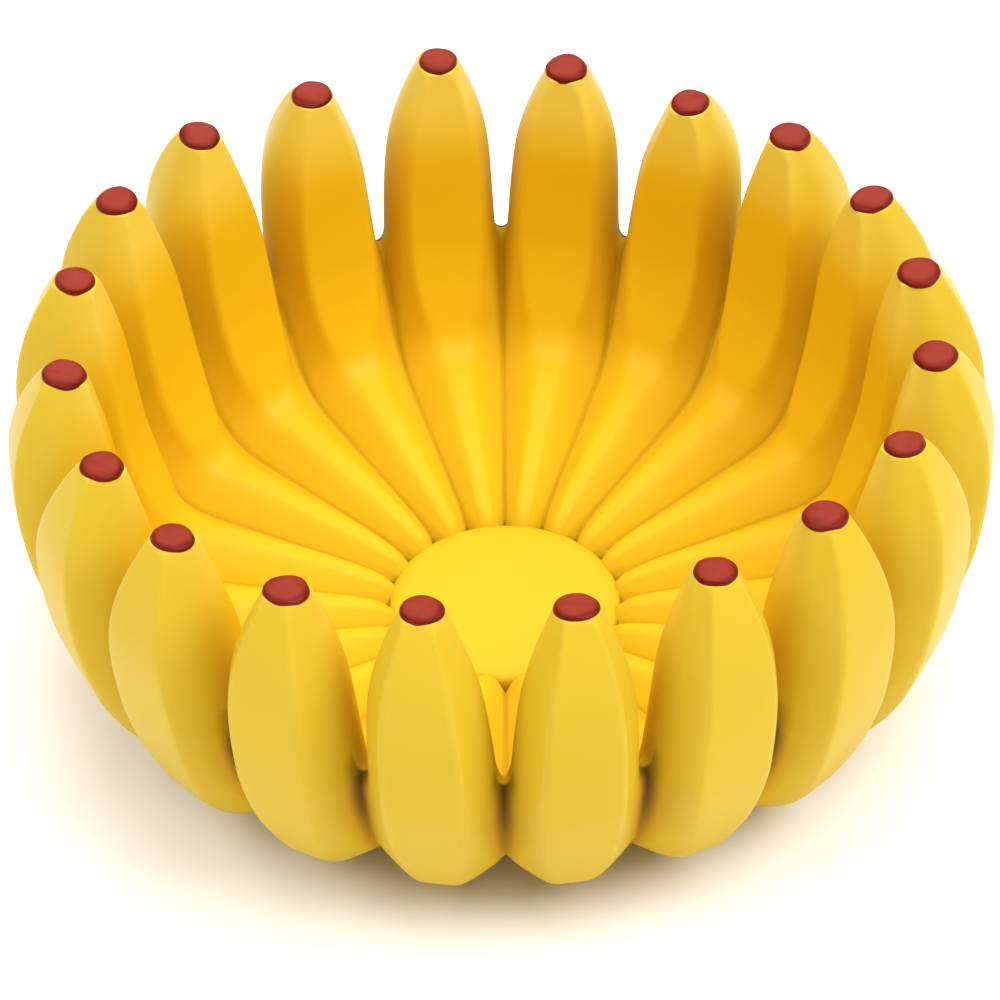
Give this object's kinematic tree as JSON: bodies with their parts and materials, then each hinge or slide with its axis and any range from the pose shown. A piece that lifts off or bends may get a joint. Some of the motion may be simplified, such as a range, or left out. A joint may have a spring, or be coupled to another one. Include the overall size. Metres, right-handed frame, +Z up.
{
  "type": "fruit bowl",
  "caption": "Round fruit bowl moulded as a ring of upright banana fingers that merge into one wall, each tip ending in a small red domed cap.",
  "frame": {"origin": "middle of the flat round foot, on the table", "axes": "+Z up out of the bowl's mouth, -Y toward the viewer, +X to the viewer's right"},
  "size_m": [0.3193, 0.3199, 0.1425],
  "materials": {
    "yellow_resin": "smooth satin yellow resin, brown glaze settled in the creases",
    "red_tip": "satin brick red lacquer over a softly uneven cap"
  },
  "bodies": {
    "root": {"bowl": "yellow_resin", "tip_cap_01": "red_tip", "tip_cap_02": "red_tip", "tip_cap_03": "red_tip", "tip_cap_04": "red_tip", "tip_cap_05": "red_tip", "tip_cap_06": "red_tip", "tip_cap_07": "red_tip", "tip_cap_08": "red_tip", "tip_cap_09": "red_tip", "tip_cap_10": "red_tip", "tip_cap_11": "red_tip", "tip_cap_12": "red_tip", "tip_cap_13": "red_tip", "tip_cap_14": "red_tip", "tip_cap_15": "red_tip", "tip_cap_16": "red_tip", "tip_cap_17": "red_tip", "tip_cap_18": "red_tip", "tip_cap_19": "red_tip", "tip_cap_20": "red_tip"}
  },
  "joints": []
}
